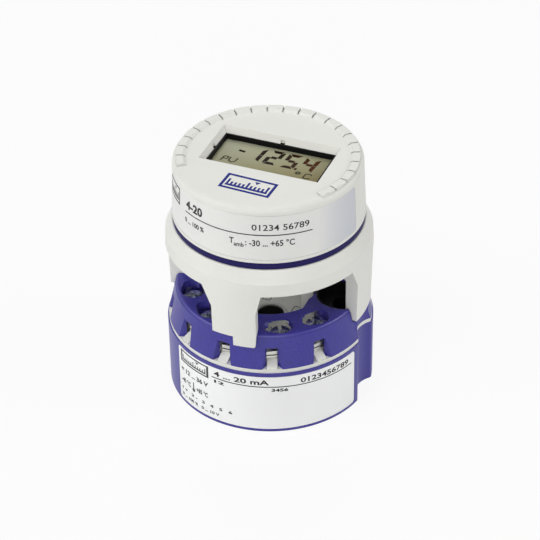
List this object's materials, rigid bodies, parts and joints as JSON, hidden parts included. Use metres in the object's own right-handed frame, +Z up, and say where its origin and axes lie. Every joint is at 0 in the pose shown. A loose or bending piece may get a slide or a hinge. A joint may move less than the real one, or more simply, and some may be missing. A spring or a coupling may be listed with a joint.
{
  "type": "temperature transmitter",
  "caption": "Round head-mounted temperature transmitter with screw terminals under a cover and a clip-on display that turns.",
  "frame": {"origin": "centre of the base face, on the axis of the round body", "axes": "+Z up along the body's axis, X through the two mounting holes, the display reads upright looking along +Y"},
  "size_m": [0.0436, 0.044, 0.0553],
  "materials": {
    "blue_plastic": "satin moulded",
    "white_plastic": "satin moulded",
    "pale_plastic": "satin moulded",
    "black_plastic": "matt",
    "zinc_steel": "zinc plated",
    "tinned_brass": "tin plated",
    "contact_gold": "gold flash",
    "board": "solder resist",
    "chip_black": "matt",
    "resin": "cast",
    "lcd_glass": "reflective liquid crystal",
    "label_film": "printed film"
  },
  "bodies": {
    "transmitter": {"lower_cup": "blue_plastic", "mount_bushes": "black_plastic", "terminal_carrier": "pale_plastic", "wiring_label": "label_film", "terminal_cover": "blue_plastic", "contact_bars": "tinned_brass", "main_board": "board", "board_chips": "chip_black", "signal_transformer": "resin", "potting_resin": "resin", "interface_socket": "pale_plastic", "socket_sleeves": "contact_gold", "body_label": "label_film"},
    "clamp_1": {"clamp_plate_1": "zinc_steel"},
    "screw_1": {"terminal_screw_1": "zinc_steel"},
    "clamp_2": {"clamp_plate_2": "zinc_steel"},
    "screw_2": {"terminal_screw_2": "zinc_steel"},
    "clamp_3": {"clamp_plate_3": "zinc_steel"},
    "screw_3": {"terminal_screw_3": "zinc_steel"},
    "clamp_4": {"clamp_plate_4": "zinc_steel"},
    "screw_4": {"terminal_screw_4": "zinc_steel"},
    "clamp_5": {"clamp_plate_5": "zinc_steel"},
    "screw_5": {"terminal_screw_5": "zinc_steel"},
    "clamp_6": {"clamp_plate_6": "zinc_steel"},
    "screw_6": {"terminal_screw_6": "zinc_steel"},
    "clamp_7": {"clamp_plate_7": "zinc_steel"},
    "screw_7": {"terminal_screw_7": "zinc_steel"},
    "clamp_8": {"clamp_plate_8": "zinc_steel"},
    "screw_8": {"terminal_screw_8": "zinc_steel"},
    "clamp_9": {"clamp_plate_9": "zinc_steel"},
    "screw_9": {"terminal_screw_9": "zinc_steel"},
    "clamp_10": {"clamp_plate_10": "zinc_steel"},
    "screw_10": {"terminal_screw_10": "zinc_steel"},
    "bracket": {"clip_bracket": "white_plastic", "plug_block": "pale_plastic", "plug_pins": "contact_gold"},
    "display_head": {"display_housing": "white_plastic", "display_base": "blue_plastic", "lcd_bezel": "black_plastic", "lcd_panel": "lcd_glass", "contact_strips": "black_plastic", "display_board": "board", "display_chips": "chip_black", "link_lead": "black_plastic", "display_label": "label_film"}
  },
  "joints": [
    {"name": "clamp_1_lift", "type": "slide", "parent": "transmitter", "child": "clamp_1", "axis": [0, 0, 1], "range_m": [0, 0.00075]},
    {"name": "screw_1_turn", "type": "hinge", "parent": "clamp_1", "child": "screw_1", "pos_m": [-0.01353, -0.00962, 0.0195], "axis": [0, 0, 1], "range_deg": [0, 540]},
    {"name": "clamp_2_lift", "type": "slide", "parent": "transmitter", "child": "clamp_2", "axis": [0, 0, 1], "range_m": [0, 0.00075]},
    {"name": "screw_2_turn", "type": "hinge", "parent": "clamp_2", "child": "screw_2", "pos_m": [-0.00743, -0.01484, 0.0195], "axis": [0, 0, 1], "range_deg": [0, 540]},
    {"name": "clamp_3_lift", "type": "slide", "parent": "transmitter", "child": "clamp_3", "axis": [0, 0, 1], "range_m": [0, 0.00075]},
    {"name": "screw_3_turn", "type": "hinge", "parent": "clamp_3", "child": "screw_3", "pos_m": [0.00041, -0.01659, 0.0195], "axis": [0, 0, 1], "range_deg": [0, 540]},
    {"name": "clamp_4_lift", "type": "slide", "parent": "transmitter", "child": "clamp_4", "axis": [0, 0, 1], "range_m": [0, 0.00075]},
    {"name": "screw_4_turn", "type": "hinge", "parent": "clamp_4", "child": "screw_4", "pos_m": [0.00815, -0.01446, 0.0195], "axis": [0, 0, 1], "range_deg": [0, 540]},
    {"name": "clamp_5_lift", "type": "slide", "parent": "transmitter", "child": "clamp_5", "axis": [0, 0, 1], "range_m": [0, 0.00075]},
    {"name": "screw_5_turn", "type": "hinge", "parent": "clamp_5", "child": "screw_5", "pos_m": [0.01398, -0.00894, 0.0195], "axis": [0, 0, 1], "range_deg": [0, 540]},
    {"name": "clamp_6_lift", "type": "slide", "parent": "transmitter", "child": "clamp_6", "axis": [0, 0, 1], "range_m": [0, 0.00075]},
    {"name": "screw_6_turn", "type": "hinge", "parent": "clamp_6", "child": "screw_6", "pos_m": [0.01353, 0.00962, 0.0195], "axis": [0, 0, 1], "range_deg": [0, 540]},
    {"name": "clamp_7_lift", "type": "slide", "parent": "transmitter", "child": "clamp_7", "axis": [0, 0, 1], "range_m": [0, 0.00075]},
    {"name": "screw_7_turn", "type": "hinge", "parent": "clamp_7", "child": "screw_7", "pos_m": [0.00743, 0.01484, 0.0195], "axis": [0, 0, 1], "range_deg": [0, 540]},
    {"name": "clamp_8_lift", "type": "slide", "parent": "transmitter", "child": "clamp_8", "axis": [0, 0, 1], "range_m": [0, 0.00075]},
    {"name": "screw_8_turn", "type": "hinge", "parent": "clamp_8", "child": "screw_8", "pos_m": [-0.00041, 0.01659, 0.0195], "axis": [0, 0, 1], "range_deg": [0, 540]},
    {"name": "clamp_9_lift", "type": "slide", "parent": "transmitter", "child": "clamp_9", "axis": [0, 0, 1], "range_m": [0, 0.00075]},
    {"name": "screw_9_turn", "type": "hinge", "parent": "clamp_9", "child": "screw_9", "pos_m": [-0.00815, 0.01446, 0.0195], "axis": [0, 0, 1], "range_deg": [0, 540]},
    {"name": "clamp_10_lift", "type": "slide", "parent": "transmitter", "child": "clamp_10", "axis": [0, 0, 1], "range_m": [0, 0.00075]},
    {"name": "screw_10_turn", "type": "hinge", "parent": "clamp_10", "child": "screw_10", "pos_m": [-0.01398, 0.00894, 0.0195], "axis": [0, 0, 1], "range_deg": [0, 540]},
    {"name": "display_lift", "type": "slide", "parent": "transmitter", "child": "bracket", "axis": [0, 0, 1], "range_m": [0, 0.015]},
    {"name": "head_turn", "type": "hinge", "parent": "bracket", "child": "display_head", "pos_m": [0, 0, 0.04], "axis": [0, 0, 1], "range_deg": [-165, 165]}
  ],
  "couplings": [
    {"joint": "screw_1_turn", "follows": "clamp_1_lift", "rad_per_m": 12566},
    {"joint": "screw_2_turn", "follows": "clamp_2_lift", "rad_per_m": 12566},
    {"joint": "screw_3_turn", "follows": "clamp_3_lift", "rad_per_m": 12566},
    {"joint": "screw_4_turn", "follows": "clamp_4_lift", "rad_per_m": 12566},
    {"joint": "screw_5_turn", "follows": "clamp_5_lift", "rad_per_m": 12566},
    {"joint": "screw_6_turn", "follows": "clamp_6_lift", "rad_per_m": 12566},
    {"joint": "screw_7_turn", "follows": "clamp_7_lift", "rad_per_m": 12566},
    {"joint": "screw_8_turn", "follows": "clamp_8_lift", "rad_per_m": 12566},
    {"joint": "screw_9_turn", "follows": "clamp_9_lift", "rad_per_m": 12566},
    {"joint": "screw_10_turn", "follows": "clamp_10_lift", "rad_per_m": 12566}
  ]
}
